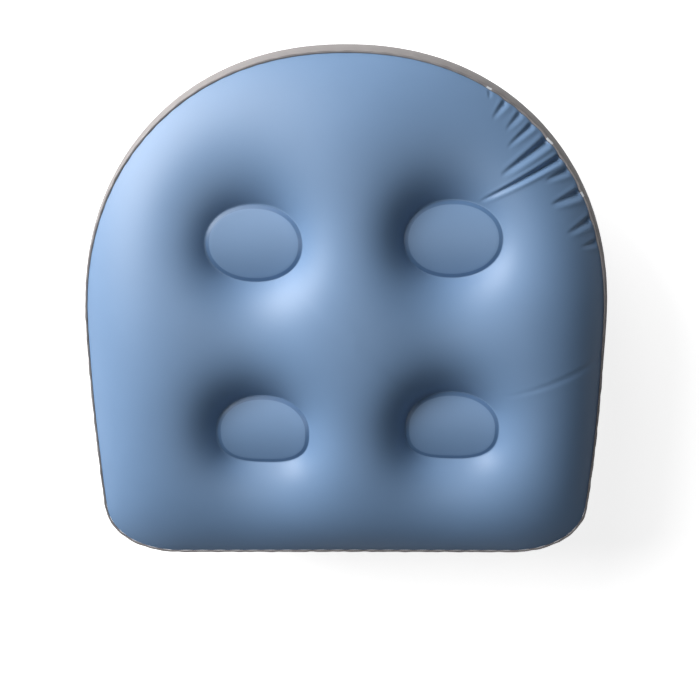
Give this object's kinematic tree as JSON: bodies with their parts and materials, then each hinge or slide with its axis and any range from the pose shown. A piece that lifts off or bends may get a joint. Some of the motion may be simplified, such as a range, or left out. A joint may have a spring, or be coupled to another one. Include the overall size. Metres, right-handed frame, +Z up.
{
  "type": "inflatable bath seat",
  "caption": "Inflatable bath booster seat: arched welded vinyl cushion with a blue top held down in dimples, grey side wall, push-in valve and suction cups.",
  "frame": {"origin": "under the middle of the seat's bounding box, on the tub that its suction cups stand on", "axes": "+Z up, +Y towards the arched back, -Y towards the straight front edge with the valve, +X to the right seen from above with the arch at the top"},
  "size_m": [0.42, 0.4099, 0.15],
  "materials": {
    "blue_film": "satin blue vinyl film",
    "grey_film": "satin warm grey vinyl film",
    "welded_film": "pressed and welded vinyl film",
    "inner_film": "pale vinyl film",
    "valve_vinyl": "moulded soft grey vinyl",
    "clear_vinyl": "moulded clear soft vinyl"
  },
  "bodies": {
    "cushion": {"top_sheet": "blue_film", "side_wall": "grey_film", "bottom_sheet": "grey_film", "top_seam_lip": "welded_film", "bottom_seam_lip": "welded_film", "top_weld_ring_back_left": "inner_film", "bottom_weld_ring_back_left": "inner_film", "tie_column_back_left": "inner_film", "top_weld_ring_back_right": "inner_film", "bottom_weld_ring_back_right": "inner_film", "tie_column_back_right": "inner_film", "top_weld_ring_front_left": "inner_film", "bottom_weld_ring_front_left": "inner_film", "tie_column_front_left": "inner_film", "top_weld_ring_front_right": "inner_film", "bottom_weld_ring_front_right": "inner_film", "tie_column_front_right": "inner_film", "cup_socket_back_left": "welded_film", "cup_socket_back_right": "welded_film", "cup_socket_front_left": "welded_film", "cup_socket_front_right": "welded_film", "valve_flange": "valve_vinyl", "valve_bellows": "valve_vinyl"},
    "stem": {"valve_stem": "valve_vinyl", "valve_strap": "valve_vinyl"},
    "plug": {"valve_plug": "valve_vinyl"},
    "flap": {"valve_flap": "clear_vinyl"},
    "cup_back_left": {"suction_cup_back_left": "clear_vinyl"},
    "cup_back_right": {"suction_cup_back_right": "clear_vinyl"},
    "cup_front_left": {"suction_cup_front_left": "clear_vinyl"},
    "cup_front_right": {"suction_cup_front_right": "clear_vinyl"}
  },
  "joints": [
    {"name": "stem_pop", "type": "slide", "parent": "cushion", "child": "stem", "axis": [0, -1, 0], "range_m": [0, 0.013]},
    {"name": "plug_pull", "type": "slide", "parent": "stem", "child": "plug", "axis": [0, -1, 0], "range_m": [0, 0.016]},
    {"name": "flap_open", "type": "hinge", "parent": "stem", "child": "flap", "pos_m": [0.09, -0.186, 0.08745], "axis": [1, 0, 0], "range_deg": [0, 60]},
    {"name": "cup_turn_back_left", "type": "hinge", "parent": "cushion", "child": "cup_back_left", "pos_m": [-0.062, 0.134, 0], "axis": [0, 0, 1], "continuous": true},
    {"name": "cup_turn_back_right", "type": "hinge", "parent": "cushion", "child": "cup_back_right", "pos_m": [0.062, 0.134, 0], "axis": [0, 0, 1], "continuous": true},
    {"name": "cup_turn_front_left", "type": "hinge", "parent": "cushion", "child": "cup_front_left", "pos_m": [-0.142, -0.1393, 0], "axis": [0, 0, 1], "continuous": true},
    {"name": "cup_turn_front_right", "type": "hinge", "parent": "cushion", "child": "cup_front_right", "pos_m": [0.142, -0.1393, 0], "axis": [0, 0, 1], "continuous": true}
  ]
}
